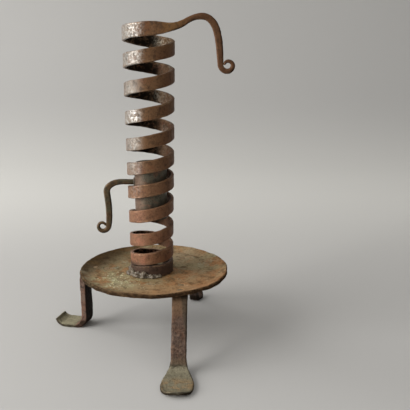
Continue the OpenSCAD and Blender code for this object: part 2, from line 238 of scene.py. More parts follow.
def build_rust_group() -> bpy.types.NodeTree:
    """Makes the group that mottles iron with rust, dirt and pale bloom.

    Returns:
        The group.
    """
    tree, bench, given, out = open_group(
        "mottled_rust",
        {"Place": "Vector", "Patches": "Float", "Grain": "Float", "Base": "Color",
         "Rust": "Color", "Pale": "Color", "Dark": "Color", "Rust Share": "Float",
         "Pale Share": "Float"},
        {"Color": "Color", "Shade": "Float", "Roughness": "Float", "Height": "Float"})
    place, grain = given["Place"], given["Grain"]
    patches = bench.cloud(place, given["Patches"], 5.0, 0.62, 0.5)
    mottle = bench.cloud(place, bench.times(given["Patches"], 3.1), 6.0, 0.7, 0.3)
    pores = bench.cloud(place, grain, 3.0, 0.6)
    bloom = bench.cloud(place, bench.times(given["Patches"], 1.9), 7.0, 0.78, 0.8)
    crumbs = bench.cloud(place, bench.times(grain, 2.3), 2.0)
    shifted = bench.plus(patches, bench.minus(given["Rust Share"], 0.5))
    paler = bench.plus(bloom, bench.minus(given["Pale Share"], 0.5))
    dirty, chalky = (0.48, 0.66), (0.53, 0.66)
    dirt = bench.span(mottle, *dirty)
    chalk = bench.span(paler, *chalky)
    speck = bench.span(pores, 0.53, 0.68)
    colour = bench.mix(bench.span(shifted, 0.43, 0.57), given["Base"], given["Rust"])
    colour = bench.mix(bench.times(dirt, 0.8), colour, given["Dark"])
    colour = bench.mix(bench.times(chalk, 0.85), colour, given["Pale"])
    colour = bench.mix(bench.times(speck, 0.6), colour, given["Dark"])
    colour = bench.mix(bench.span(crumbs, 0.55, 0.72, 0.0, 0.4), colour, given["Pale"])
    bench.feed(out["Color"], colour)
    shade = bench.span(mottle, *dirty, 1.1, 0.68)
    shade = bench.times(shade, bench.span(paler, *chalky, 0.95, 1.35))
    shade = bench.times(shade, bench.span(pores, 0.5, 0.68, 1.05, 0.7))
    bench.feed(out["Shade"], shade)
    bench.feed(out["Roughness"], bench.span(mottle, 0.3, 0.7, -0.09, 0.1))
    coarse, fine = 0.6, 0.4
    bench.feed(out["Height"], bench.plus(bench.times(mottle, coarse), bench.times(pores, fine)))
    return tree


def build_wear_group() -> bpy.types.NodeTree:
    """Makes the group that breaks up the worn edges into a ragged mask.

    Returns:
        The group.
    """
    tree, bench, given, out = open_group(
        "ragged_wear", {"Place": "Vector", "Wear": "Float", "Amount": "Float"}, {"Mask": "Float"})
    chips = 420.0
    ragged = bench.cloud(given["Place"], chips, 5.0, 0.7)
    worn = bench.times(given["Wear"], bench.span(ragged, 0.32, 0.62, 0.25, 1.3))
    bench.feed(out["Mask"], bench.span(bench.times(worn, given["Amount"]), 0.08, 0.9))
    return tree


@dataclass(frozen=True)
class Zone:
    """A stretch of a surface that fades into another colour along a direction."""

    toward: tuple[float, float, float]
    start: float
    end: float
    colour: Colour
    amount: float = 0.8
    ragged: float = 0.0
    within: "Zone | None" = None


def only(toward: tuple[float, float, float], start: float, end: float, ragged: float = 0.0,
         within: Zone | None = None) -> Zone:
    """Returns a zone without a colour of its own, which limits another zone."""
    return Zone(toward, start, end, screen(0, 0, 0), 1.0, ragged, within)


@dataclass(frozen=True)
class Spill:
    """Old wax and solder dust, which lie in a round patch on a surface."""

    centre: tuple[float, float, float]
    reach: float
    crust: Colour
    specks: Colour
    amount: float = 0.75
    core: float = 0.3
    crust_scale: float = 170.0
    speck_scale: float = 620.0
    speck_gain: float = 1.5


@dataclass(frozen=True)
class IronFinish:
    """Rusty forged iron, from its colours, its patches and its polish; the polish carries painted
    highlights and the sooty mark carries painted shade.
    """

    name: str
    base: Colour
    rust: Colour
    pale: Colour
    dark: Colour
    worn: Colour
    patches: float = 60.0
    grain: float = 700.0
    rust_share: float = 0.5
    pale_share: float = 0.42
    roughness: float = 0.62
    metallic: float = 0.25
    bump: float = 0.5
    bump_depth: float = 0.35 * MM
    wear: float = 1.0
    # The colour of the sootiness and of the painted shade.
    soot_and_shade: Colour = screen(26, 21, 18)
    soot_and_shade_amount: float = 0.0
    flaked: float = 0.7
    flakes: float = 150.0
    specular: float = 0.3
    wear_cover: float = 0.75
    wear_smooth: float = 0.14
    wear_metal: float = 0.3
    soot_and_shade_rough: float = 0.3
    soot_and_shade_dull: float = 0.8
    painted_glint_cover: float = 0.75
    polish_smooth: float = 0.3
    polish_metal: float = 0.4
    zones: tuple[Zone, ...] = ()
    # Polished patches lower roughness and add metal; their whitish colour is a painted highlight.
    polish_and_glints: tuple[Zone, ...] = ()
    spill: Spill | None = None

    def build(self, rust: bpy.types.NodeTree, wear: bpy.types.NodeTree) -> bpy.types.Material:
        """Builds the material.

        Args:
            rust: The mottled rust group.
            wear: The ragged wear group.

        Returns:
            The finished material.
        """
        material = bpy.data.materials.new(self.name)
        material.use_nodes = True
        bench = Bench(material.node_tree)
        shader = material.node_tree.nodes["Principled BSDF"]
        place = bench.node("TexCoord").outputs["Object"]
        body = bench.node("Group", {"node_tree": rust}, Place=place, Patches=self.patches,
                          Grain=self.grain, Base=self.base, Rust=self.rust, Pale=self.pale,
                          Dark=self.dark, Rust_Share=self.rust_share, Pale_Share=self.pale_share)
        colour = body.outputs["Color"]
        for zone in self.zones:
            tint = bench.node("VectorMath", {"operation": "SCALE"},
                              Scale=body.outputs["Shade"])
            bench.feed(tint.inputs[0], zone.colour[:3])
            colour = bench.mix(self.fade(bench, place, zone), colour, tint.outputs["Vector"])
        if self.spill:
            colour = self.dust(bench, place, colour)
        # Sootiness mixed with painted shade: inside the coil, on the arm's and lever's sides
        # facing right or down, and under the pan.
        if self.soot_and_shade_amount > 0:
            soot_and_shade = bench.node("Attribute", {"attribute_name": Mark.SOOT_AND_SHADE.value}).outputs["Fac"]
            flakes = bench.cloud(place, self.flakes, 5.0, 0.7)
            flaked = bench.span(flakes, 0.48, 0.66, 1.0, self.flaked)
            soot_and_shade = bench.times(soot_and_shade, bench.times(flaked, self.soot_and_shade_amount))
            colour = bench.mix(soot_and_shade, colour, self.soot_and_shade)
        edge = bench.node("Attribute", {"attribute_name": Mark.WEAR.value}).outputs["Fac"]
        mask = bench.node("Group", {"node_tree": wear}, Place=place, Wear=edge,
                          Amount=self.wear).outputs["Mask"]
        colour = bench.mix(bench.times(mask, self.wear_cover), colour, self.worn)
        roughness = bench.plus(body.outputs["Roughness"], self.roughness)
        roughness = bench.minus(roughness, bench.times(mask, self.wear_smooth))
        metallic = bench.plus(bench.times(mask, self.wear_metal), self.metallic)
        # Polish: less roughness and more metal, with its colour mixed in as a painted highlight.
        for zone in self.polish_and_glints:
            shine = self.fade(bench, place, zone)
            colour = bench.mix(bench.times(shine, self.painted_glint_cover), colour, zone.colour)
            roughness = bench.minus(roughness, bench.times(shine, self.polish_smooth))
            metallic = bench.plus(metallic, bench.times(shine, self.polish_metal))
        specular: Value = self.specular
        if self.soot_and_shade_amount > 0:
            roughness = bench.plus(roughness, bench.times(soot_and_shade, self.soot_and_shade_rough))
            metallic = bench.times(metallic, bench.minus(1.0, soot_and_shade))
            dull = bench.minus(1.0, bench.times(soot_and_shade, self.soot_and_shade_dull))
            specular = bench.times(dull, self.specular)
        bump = bench.node("Bump", Strength=self.bump, Distance=self.bump_depth,
                          Height=body.outputs["Height"])
        bench.feed(shader.inputs["Base Color"], colour)
        bench.feed(shader.inputs["Roughness"], roughness)
        bench.feed(shader.inputs["Metallic"], metallic)
        bench.feed(shader.inputs["Normal"], bump.outputs["Normal"])
        bench.feed(shader.inputs["Specular IOR Level"], specular)
        return material

    def dust(self, bench: Bench, place: Value, colour: Value) -> Socket:
        """Lays the spill's crust and its specks over a colour.

        Args:
            bench: The bench of the material.
            place: The place on the piece.
            colour: The colour under the spill.

        Returns:
            The colour with the spill on it.
        """
        spill = self.spill
        away = bench.node("VectorMath", {"operation": "DISTANCE"})
        bench.feed(away.inputs[0], place)
        bench.feed(away.inputs[1], spill.centre)
        near = bench.span(away.outputs["Value"], spill.core * spill.reach, spill.reach, 1.0, 0.0)
        crust = bench.span(bench.cloud(place, spill.crust_scale, 6.0, 0.72, 0.6), 0.46, 0.6)
        crust = bench.times(bench.times(crust, near), spill.amount)
        specks = bench.span(bench.cloud(place, spill.speck_scale, 4.0, 0.7, 0.5), 0.56, 0.66)
        specks = bench.times(specks, bench.times(near, crust))
        colour = bench.mix(crust, colour, spill.crust)
        return bench.mix(bench.times(specks, spill.speck_gain), colour, spill.specks)

    def fade(self, bench: Bench, place: Value, zone: Zone) -> Socket:
        """Finds how much of a zone's colour a place has.

        Args:
            bench: The bench of the material.
            place: The place on the piece.
            zone: The zone.

        Returns:
            The share at each place.
        """
        along = bench.node("VectorMath", {"operation": "DOT_PRODUCT"})
        bench.feed(along.inputs[0], place)
        bench.feed(along.inputs[1], zone.toward)
        share = bench.span(along.outputs["Value"], zone.start, zone.end, 0.0, zone.amount)
        if zone.ragged > 0:
            broken = bench.span(bench.cloud(place, zone.ragged, 5.0, 0.65, 0.4), 0.42, 0.62)
            share = bench.times(share, broken)
        if zone.within:
            share = bench.times(share, self.fade(bench, place, zone.within))
        return share


STRIP_IRON = IronFinish(
    name="forged_strip_iron",
    base=screen(108, 80, 54), rust=screen(104, 64, 38), pale=screen(132, 120, 98),
    dark=screen(42, 29, 20), worn=screen(150, 120, 90),
    patches=75.0, grain=900.0, rust_share=0.44, pale_share=0.42, roughness=0.5, metallic=0.25,
    # The near-black colour of the sootiness and painted shade inside the coil, and of the painted
    # shade on the arm.
    bump=0.75, bump_depth=0.45 * MM, wear=0.5, soot_and_shade=screen(18, 14, 9), soot_and_shade_amount=0.97,
    flaked=0.45, flakes=330.0, specular=0.25,
    zones=(Zone(DOWN, -0.165, -0.100, screen(140, 102, 78), 0.6),
           Zone(DOWN, -0.125, -0.075, screen(148, 98, 76), 0.6, 90.0),
           # Painted sheen: the left-front of the middle turns is paler grey, where the window lamp
           # falls.
           Zone((-0.8, -0.6, 0), 0.0120, 0.0185, screen(146, 142, 134), 0.5, 0.0,
                only(UP, 0.118, 0.150)),
           Zone((0.45, -0.9, 0), 0.0110, 0.0175, screen(100, 68, 42), 0.5),
           # Rust brown deepened by painted shade on the coil's right side and the arm, away from
           # the window lamp.
           Zone((0.9, -0.1, 0), 0.0060, 0.0150, screen(84, 53, 31), 0.6),
           Zone(DOWN, -0.0645, -0.0605, screen(66, 52, 44), 0.9),
           Zone(RIGHT, 0.004, 0.018, screen(102, 72, 38), 0.85, 0.0,
                only(UP, 0.222, 0.232)),
           Zone(RIGHT, 0.020, 0.034, screen(90, 60, 38), 0.9)),
    # Polish with painted highlights: whitish speckled glints on the left-front of some turns,
    # where the window lamp reflects.
    polish_and_glints=(Zone(POLISH_GLINT_SIDE, 0.0150, 0.0190, screen(200, 198, 192), 0.6, 620.0,
                 only(UP, 0.095, 0.140, 42.0)),
            Zone(POLISH_GLINT_SIDE, 0.0140, 0.0185, screen(200, 198, 192), 0.62, 560.0,
                 only(UP, 0.2120, 0.2150)),
            Zone(POLISH_GLINT_SIDE, 0.0150, 0.0190, screen(216, 214, 208), 1.0, 430.0,
                 only(UP, 0.1670, 0.1700, 0.0,
                      only(DOWN, -0.1840, -0.1810))),
            # Polish with painted highlights inside the coil's right-back, where the inner faces
            # catch the window lamp.
            Zone((0.75, 0.66, 0), 0.0110, 0.0160, screen(184, 176, 158), 0.7, 700.0,
                 only(UP, 0.120, 0.160, 50.0,
                      only(LEFT, -0.0240, -0.0215)))))

PAN_IRON = IronFinish(
    name="sheet_pan_iron",
    base=screen(142, 126, 92), rust=screen(152, 108, 66), pale=screen(154, 152, 126),
    dark=screen(78, 60, 36), worn=screen(150, 116, 82),
    patches=42.0, grain=520.0, rust_share=0.48, pale_share=0.5, roughness=0.62,
    metallic=0.15, bump_depth=0.45 * MM, wear=0.45, soot_and_shade=screen(36, 25, 17),
    soot_and_shade_amount=0.96, flaked=0.8, specular=0.15,
    # Painted shade: the far-left of the pan, where the far rim's inner face turns from the window
    # lamp, is darkened, and the back-left gets ragged patches of it.
    zones=(Zone((-1, 0.45, 0.0), 0.030, 0.054, screen(66, 48, 24), 0.92),
           Zone((-0.6, 0.8, 0.0), 0.020, 0.048, screen(98, 76, 44), 0.7, 40.0),
           Zone((-0.5, -0.86, 0), 0.014, 0.040, screen(152, 142, 112), 0.6, 34.0),
           Zone((0.5, -0.86, 0), 0.012, 0.050, screen(168, 124, 84), 0.65),
           Zone((0.7, 0.7, 0), 0.012, 0.034, screen(152, 134, 106), 0.6, 30.0),
           Zone((1, -0.1, 0), 0.020, 0.046, screen(134, 86, 46), 0.85, 32.0)),
    spill=Spill((-0.028, -0.025, 0.052), 0.030, screen(172, 166, 124), screen(236, 232, 206)))

FRONT_LEG_IRON = IronFinish(
    name="front_leg_iron",
    base=screen(84, 66, 55), rust=screen(92, 66, 50), pale=screen(126, 104, 88),
    dark=screen(40, 30, 25), worn=screen(132, 106, 88), soot_and_shade=screen(34, 27, 20), soot_and_shade_amount=0.95,
    patches=130.0, grain=1100.0, pale_share=0.45, roughness=0.64, metallic=0.15,
    bump=0.9, wear=0.4, specular=0.2,
    zones=(Zone(UP, 0.034, 0.044, screen(118, 92, 68), 0.8),
           Zone(DOWN, -0.014, -0.008, screen(112, 96, 76), 0.6),
           Zone(DOWN, -0.0078, -0.0050, screen(134, 128, 106), 0.85),
           Zone(UP, 0.010, 0.014, screen(44, 30, 24), 0.5, 380.0,
                only(DOWN, -0.0440, -0.0260)),
           Zone(UP, 0.010, 0.014, screen(142, 118, 98), 0.3, 520.0,
                only(DOWN, -0.0440, -0.0260)),
           Zone(FRONT, 0.0800, 0.0900, screen(152, 122, 84), 0.7, 150.0),
           Zone(FRONT, 0.0960, 0.1010, screen(118, 112, 92), 0.6),
           # Painted shade: the strap's right edge, away from the window lamp, is darker.
           Zone(FRONT_LEG_RIGHT, 0.0095, 0.0118, screen(60, 54, 42), 0.7),
           Zone(FRONT_LEG_LEFT, 0.0100, 0.0120, screen(66, 60, 46), 0.6),
           Zone(FRONT_LEG_TOE, 0.1062, 0.1090, screen(70, 64, 52), 0.85)))

LEFT_LEG_IRON = IronFinish(
    name="left_leg_iron",
    base=screen(112, 92, 80), rust=screen(112, 84, 70), pale=screen(140, 122, 108),
    dark=screen(44, 34, 30), worn=screen(136, 116, 102), soot_and_shade=screen(34, 27, 20), soot_and_shade_amount=0.9,
    patches=120.0, grain=1100.0, pale_share=0.42, roughness=0.72, metallic=0.1,
    bump=0.8, wear=0.6, specular=0.1,
    # Painted shade: the leg's inner face, turned away from the window lamp, is nearly black.
    zones=(Zone(LEFT_LEG_INSIDE, -0.0547, -0.0539, screen(26, 19, 15), 0.95),
           Zone(LEFT_LEG_TOE, 0.0615, 0.0650, screen(152, 146, 120), 0.9, 0.0,
                only(DOWN, -0.014, -0.010))))

REAR_LEG_IRON = IronFinish(
    name="rear_leg_iron",
    base=screen(66, 54, 46), rust=screen(74, 56, 46), pale=screen(104, 90, 78),
    dark=screen(34, 27, 23), worn=screen(104, 90, 78), soot_and_shade=screen(30, 24, 18), soot_and_shade_amount=0.9,
    patches=120.0, grain=1100.0, roughness=0.68, metallic=0.1, specular=0.15, bump=0.8, wear=0.4)

RIVET_IRON = IronFinish(
    name="rivet_iron",
    base=screen(92, 72, 62), rust=screen(98, 72, 60), pale=screen(126, 106, 92),
    dark=screen(44, 34, 30), worn=screen(128, 108, 94),
    patches=120.0, grain=900.0, roughness=0.62, metallic=0.15, wear=0.4,
    zones=(Zone(UP, 0.0485, 0.0500, screen(132, 110, 80), 0.95),))

LEVER_IRON = IronFinish(
    name="lever_iron",
    base=screen(86, 78, 56), rust=screen(96, 72, 46), pale=screen(118, 112, 90),
    dark=screen(38, 32, 25), worn=screen(134, 120, 92),
    patches=110.0, grain=900.0, roughness=0.44, metallic=0.3, wear=0.6,
    # This dark colour is the painted shade on the lever's side that faces right or down.
    soot_and_shade=screen(28, 22, 15), soot_and_shade_amount=0.85)

CUP_SHEET = IronFinish(
    name="cup_sheet",
    base=screen(86, 80, 66), rust=screen(104, 78, 60), pale=screen(120, 114, 98),
    dark=screen(48, 42, 34), worn=screen(144, 136, 118),
    patches=85.0, grain=900.0, rust_share=0.46, roughness=0.44, metallic=0.4,
    bump_depth=0.15 * MM, soot_and_shade=screen(20, 18, 16), soot_and_shade_amount=0.9,
    zones=(Zone((-0.95, -0.3, 0), 0.0060, 0.0115, screen(118, 94, 78), 0.8),))

SOLDER = IronFinish(
    name="old_solder",
    base=screen(100, 86, 66), rust=screen(78, 62, 46), pale=screen(226, 220, 202),
    dark=screen(36, 28, 20), worn=screen(140, 128, 104),
    patches=520.0, grain=1800.0, rust_share=0.5, pale_share=0.48, roughness=0.45,
    metallic=0.05, specular=0.5, wear=0.3)

WAX = IronFinish(
    name="old_wax",
    base=screen(206, 200, 164), rust=screen(184, 172, 126), pale=screen(232, 230, 212),
    dark=screen(140, 128, 92), worn=screen(232, 228, 210),
    patches=200.0, grain=1500.0, roughness=0.45, metallic=0.0, bump_depth=0.1 * MM)


def make_piece(name: str, mesh: bpy.types.Mesh, body: Body,
               stands_for: tuple[str, ...] = ()) -> bpy.types.Object:
    """Puts a mesh into the scene as a piece of the object.

    Args:
        name: The piece's name.
        mesh: Its mesh, in metres in the frame.
        body: The body that it rides on.
        stands_for: The nodes that it replaces.

    Returns:
        The piece.
    """
    piece = bpy.data.objects.new(name, mesh)
    bpy.context.scene.collection.objects.link(piece)
    for polygon in mesh.polygons:
        polygon.use_smooth = True
    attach(piece, body.value)
    if stands_for:
        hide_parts(*stands_for)
    LOG.info("%s: %d faces on %s", name, len(mesh.polygons), body.value)
    return piece


def mark_points(mesh: bpy.types.Mesh, wear: Sequence[float], soot_and_shade: Sequence[float]) -> None:
    """Writes the wear, and the sootiness with painted shade, of a mesh's points as its attributes.

    Args:
        mesh: The mesh.
        wear: The wear of each point, from 0 to 1.
        soot_and_shade: How sooty each point is, with painted shade in shaded places, from 0 to 1.
    """
    for mark, values in ((Mark.WEAR, wear), (Mark.SOOT_AND_SHADE, soot_and_shade)):
        attribute = mesh.attributes.new(mark.value, "FLOAT", "POINT")
        attribute.data.foreach_set("value", np.asarray(values, np.float32))


def relax(bm: bmesh.types.BMesh, points: Sequence[bmesh.types.BMVert]) -> None:
    """Moves points half way to the middle of their neighbours."""
    bmesh.ops.smooth_vert(bm, verts=points, factor=0.5, use_axis_x=True, use_axis_y=True,
                          use_axis_z=True)


def remeshed(mesh: bpy.types.Mesh, voxel: float) -> bpy.types.Mesh:
    """Lays an even skin of small faces over a closed mesh.

    Args:
        mesh: The closed mesh.
        voxel: The size of the small faces.

    Returns:
        The skin.
    """
    carrier = bpy.data.objects.new("remesh_carrier", mesh)
    bpy.context.scene.collection.objects.link(carrier)
    modifier = carrier.modifiers.new("even_skin", "REMESH")
    modifier.mode = "VOXEL"
    modifier.voxel_size = voxel
    modifier.adaptivity = 0.0
    graph = bpy.context.evaluated_depsgraph_get()
    even = bpy.data.meshes.new_from_object(carrier.evaluated_get(graph))
    bpy.data.objects.remove(carrier)
    return even


class Neighbours:
    """The neighbours of each point of a mesh."""

    def __init__(self, bm: bmesh.types.BMesh) -> None:
        """Reads the ends of the edges.

        Args:
            bm: The mesh.
        """
        bm.verts.index_update()
        self.ends = np.array([[e.verts[0].index, e.verts[1].index] for e in bm.edges])
        self.count = np.bincount(self.ends.ravel(), minlength=len(bm.verts)).astype(float)

    def spread(self, values: np.ndarray) -> np.ndarray:
        """Averages the values of each point's neighbours.

        Args:
            values: A number or a row of numbers for each point.

        Returns:
            The averages, in the same order.
        """
        total = np.zeros_like(values)
        np.add.at(total, self.ends[:, 0], values[self.ends[:, 1]])
        np.add.at(total, self.ends[:, 1], values[self.ends[:, 0]])
        return total / (self.count[:, None] if values.ndim == 2 else self.count)


@dataclass
class WornCopy:
    """A worn copy of a node: an even skin with relaxed edges, dents and pits."""

    node: str
    name: str
    body: Body
    finish: IronFinish
    voxel: float = 0.6 * MM
    relax_rounds: int = 3
    dent: float = 0.14 * MM
    dent_size: float = 7.0 * MM
    pit: float = 0.12 * MM
    pit_size: float = 1.8 * MM
    seed: float = 0.0
    wear_reach: float = 0.16 * MM
    wear_gain: float = 1.6

    def source(self) -> bmesh.types.BMesh:
        """Merges the loose triangles of the node's mesh.

        Returns:
            A copy of the node's mesh.
        """
        bm = bmesh.new()
        bm.from_mesh(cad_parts[self.node].data)
        bmesh.ops.remove_doubles(bm, verts=bm.verts, dist=MERGE)
        return bm

    def offset(self, point: Vector, normal: Vector) -> Vector:
        """Works out the dents and pits at a point.

        Args:
            point: The point.
            normal: The surface's normal there.

        Returns:
            How far the surface moves.
        """
        away = Vector((self.seed, 2.7 * self.seed, -1.3 * self.seed))
        dents = noise.fractal(point / self.dent_size + away, 0.9, 2.1, 3)
        pits = noise.noise(point / self.pit_size + away)
        depth = self.dent * dents - self.pit * smooth_step(pits, 0.1, 0.55)
        return normal * depth

    def soot_and_shade(self, point: Vector, normal: Vector) -> float:
        """Returns how sooty and how darkened by painted shade a point is, from 0 to 1: none on a
        plain piece.
        """
        return 0.0

    def build(self) -> bpy.types.Mesh:
        """Builds the worn mesh.

        Returns:
            The mesh with its attributes.
        """
        bm = self.skin(self.source())
        bm.normal_update()
        moves = [self.offset(v.co, v.normal) for v in bm.verts]
        for vertex, move in zip(bm.verts, moves):
            vertex.co += move
        bm.normal_update()
        wear = self.measure_wear(bm)
        soot_and_shade = [self.soot_and_shade(v.co, v.normal) for v in bm.verts]
        mesh = bpy.data.meshes.new(self.name)
        bm.to_mesh(mesh)
        bm.free()
        mark_points(mesh, wear, soot_and_shade)
        return mesh

    def skin(self, bm: bmesh.types.BMesh) -> bmesh.types.BMesh:
        """Turns the node's mesh into an even skin with relaxed edges.

        Args:
            bm: The node's mesh, which is freed.

        Returns:
            The skin.
        """
        merged = bpy.data.meshes.new(self.name + "_merged")
        bm.to_mesh(merged)
        bm.free()
        even = bmesh.new()
        even.from_mesh(remeshed(merged, self.voxel))
        for _ in range(self.relax_rounds):
            relax(even, even.verts)
        return even

    def measure_wear(self, bm: bmesh.types.BMesh) -> np.ndarray:
        """Measures how exposed the points are.

        Args:
            bm: The worn mesh.

        Returns:
            For each point, 0 on a flat to 1 on a worn edge.
        """
        points = np.array([v.co for v in bm.verts])
        normals = np.array([v.normal for v in bm.verts])
        net = Neighbours(bm)
        middle = points
        for _ in range(3):
            middle = 0.4 * middle + 0.6 * net.spread(middle)
        rise = ((points - middle) * normals).sum(1) / self.wear_reach
        rise = np.clip(rise, 0, 1)
        for _ in range(2):
            rise = 0.5 * rise + 0.5 * net.spread(rise)
        return np.clip(self.wear_gain * rise, 0, 1)

    def place(self, materials: "FinishRack") -> bpy.types.Object:
        """Builds the piece, dresses it and puts it in the node's place.

        Args:
            materials: The rack of finishes.

        Returns:
            The piece.
        """
        mesh = self.build()
        mesh.materials.append(materials.get(self.finish))
        return make_piece(self.name, mesh, self.body, (self.node,))


@dataclass
class SpiralStripCopy(WornCopy):
    """The spiral strip: crisp chamfers, uneven edges, and soot with painted shade on its inner
    side.
    """

    edge_wave: float = 0.32 * MM
    edge_length: float = 15.0 * MM
    coil_radius: float = 21.0 * MM
    corner: float = 32.0
    hold: float = 0.12 * MM
    cell: float = 1.5 * MM
    cuts: int = 4
    turn_steps: int = 32
    skin_shrink: float = 0.04 * MM
    arm_rounds: int = 6
    arm_stride: float = 1.2 * MM
    arm_swell: float = 0.22 * MM
    arm_shade: float = 0.85
    # How much the painted shade inside the coil lessens where the inner faces turn toward the
    # window lamp.
    window_lit: float = 0.8

    def skin(self, bm: bmesh.types.BMesh) -> bmesh.types.BMesh:
        """Holds the chamfers with close edges, cuts the faces small and rounds the coil.

        Args:
            bm: The node's mesh.

        Returns:
            The same mesh with small faces.
        """
        sharp = [e for e in bm.edges
                 if e.is_manifold and e.calc_face_angle() > math.radians(self.corner)]
        bmesh.ops.bevel(bm, geom=sharp, offset=self.hold, offset_type="OFFSET", segments=2,
                        profile=1.0, affect="EDGES", material=-1, clamp_overlap=False)
        bmesh.ops.triangulate(bm, faces=[f for f in bm.faces if len(f.verts) > 4])
        for _ in range(self.cuts):
            long = [e for e in bm.edges if e.calc_length() > self.cell]
            bmesh.ops.subdivide_edges(bm, edges=long, cuts=1, use_grid_fill=True)
            bmesh.ops.triangulate(bm, faces=[f for f in bm.faces if len(f.verts) > 4])
        step = math.tau / self.turn_steps
        for vertex in bm.verts:
            if vertex.co.xy.length < self.coil_radius:
                off = math.atan2(vertex.co.y, vertex.co.x) % step - step / 2
                vertex.co.xy *= math.cos(off) / math.cos(step / 2)
        for count in range(self.arm_rounds):
            start = self.coil_radius + MM + self.arm_stride * count
            relax(bm, [v for v in bm.verts if v.co.xy.length > start])
        return bm

    def measure_wear(self, bm: bmesh.types.BMesh) -> np.ndarray:
        """Finds the chamfers' edges.

        Args:
            bm: The worn mesh.

        Returns:
            For each point, 1 on such an edge and less beside it.
        """
        slack = 6.0
        limit = math.radians(self.corner - slack)
        edge = np.zeros(len(bm.verts))
        bm.verts.index_update()
        for e in bm.edges:
            if e.is_manifold and e.calc_face_angle() > limit:
                edge[e.verts[0].index] = edge[e.verts[1].index] = 1
        net = Neighbours(bm)
        for _ in range(2):
            edge = np.maximum(edge, 0.9 * net.spread(edge))
        return edge

    def offset(self, point: Vector, normal: Vector) -> Vector:
        """Adds the waves of the strip's upper and lower edges to its dents.

        Args:
            point: The point.
            normal: The surface's normal there.

        Returns:
            How far the surface moves.
        """
        wave = noise.fractal(point / self.edge_length, 1.0, 2.0, 2)
        coil = smooth_step(self.coil_radius - point.xy.length, 0.0, 2 * MM)
        lift = self.edge_wave * wave * abs(normal.z) * coil - self.skin_shrink
        out = smooth_step(point.xy.length, self.coil_radius, 1.5 * self.coil_radius)
        lift += self.arm_swell * out
        return super().offset(point, normal) + normal * lift

    def soot_and_shade(self, point: Vector, normal: Vector) -> float:
        """Finds the soot and painted shade inside the coil, lessened where the inner faces turn
        toward the window lamp, and the painted shade on the arm's side that faces right or down.

        Args:
            point: The point.
            normal: The surface's normal there.

        Returns:
            How much soot and painted shade the point gets, from 0 to 1.
        """
        radius = point.xy.length
        # Painted shade on the arm's side that faces right or down.
        if radius > self.coil_radius:
            share = smooth_step(radius, self.coil_radius, 1.3 * self.coil_radius)
            return self.arm_shade * share * shaded(normal)
        # Soot and painted shade inside the coil, lessened on the right where the inner faces turn
        # toward the window lamp.
        facing = -(normal.x * point.x + normal.y * point.y) / max(radius, MM)
        window_lit = self.window_lit * smooth_step(point.x / max(radius, MM), 0.15, 0.6)
        return smooth_step(facing, 0.3, 0.8) * (1 - window_lit)


@dataclass
class PanCopy(WornCopy):
    """The drip pan: a hand-cut rim that waves a little and a hammered border."""

    centre: Vector = field(default_factory=lambda: Vector((1.8 * MM, 0, 0)))
    rim: float = 59 * MM
    rim_wave: float = 0.7 * MM
    rim_drift: float = 0.7 * MM
    rim_trim: float = 0.2 * MM
    foot: tuple[float, float] = (14 * MM, 16 * MM)
    front_soot: float = 0.85

    def offset(self, point: Vector, normal: Vector) -> Vector:
        """Adds the rim's waves to the dents.

        Args:
            point: The point.
            normal: The surface's normal there.

        Returns:
            How far the surface moves.
        """
        out = point - self.centre
        out.z = 0
        reach = smooth_step(out.length / self.rim, 0.72, 1.0)
        around = out.normalized() * 1.6
        lift = noise.fractal(around + Vector((3.1, 0, 0)), 1.0, 2.0, 3) * self.rim_wave
        drift = noise.fractal(2.2 * around + Vector((0, 9.4, 0)), 0.8, 2.0, 3) * self.rim_drift
        moved = Vector((0, 0, lift * reach)) + out.normalized() * (drift - self.rim_trim) * reach
        return super().offset(point, normal) + moved

    def soot_and_shade(self, point: Vector, normal: Vector) -> float:
        """Finds the painted shade under the pan, and the soot round the strip's foot and on the
        border.

        Args:
            point: The point.
            normal: The surface's normal there.

        Returns:
            How dark the point is painted, from 0 to 1.
        """
        out = (point - self.centre).xy
        outward = normal.xy.dot(out.normalized())
        reach = out.length / self.rim
        front = smooth_step(-out.y / max(out.length, MM), 0.0, 0.7)
        # Faces turned down get painted shade; the foot and the border get soot.
        return max(smooth_step(-normal.z, 0.1, 0.5),
                   smooth_step(-point.xy.length, -self.foot[1], -self.foot[0]),
                   smooth_step(outward, 0.0, 0.3) * smooth_step(reach, 0.9, 0.95),
                   self.front_soot * front * smooth_step(reach, 0.955, 0.975))


@dataclass
class SolderCopy(WornCopy):
    """A run of solder that swells in lumps where it was heaped up."""

    swell: float = 1.7 * MM
    lump_size: float = 3.2 * MM

    def offset(self, point: Vector, normal: Vector) -> Vector:
        """Adds the lumps to the dents, apart from the side that lies on the pan.

        Args:
            point: The point.
            normal: The surface's normal there.

        Returns:
            How far the surface moves.
        """
        heap = noise.noise(point / self.lump_size + Vector((self.seed, 0, 0)))
        lump = smooth_step(heap, -0.4, 0.5)
        lump *= smooth_step(normal.z, -0.7, 0.0)
        return super().offset(point, normal) + normal * self.swell * lump


@dataclass
class LeverCopy(WornCopy):
    """The lever, with painted shade on its side that faces right or down."""

    def soot_and_shade(self, point: Vector, normal: Vector) -> float:
        """Returns how much painted shade a point gets."""
        return shaded(normal)


@dataclass
class LegCopy(WornCopy):
    """A leg: its sole stays on the floor however the foot is dented."""

    dark_below: float = 8 * MM

    def offset(self, point: Vector, normal: Vector) -> Vector:
        """Keeps the dents above the floor.

        Args:
            point: The point.
            normal: The surface's normal there.

        Returns:
            How far the surface moves.
        """
        move = super().offset(point, normal)
        move.z = max(move.z, -point.z)
        return move

    def soot_and_shade(self, point: Vector, normal: Vector) -> float:
        """Returns 1 on the edges of the foot."""
        low = smooth_step(-point.z, -self.dark_below, -0.7 * self.dark_below)
        return low * smooth_step(normal.xy.length, 0.55, 0.9)


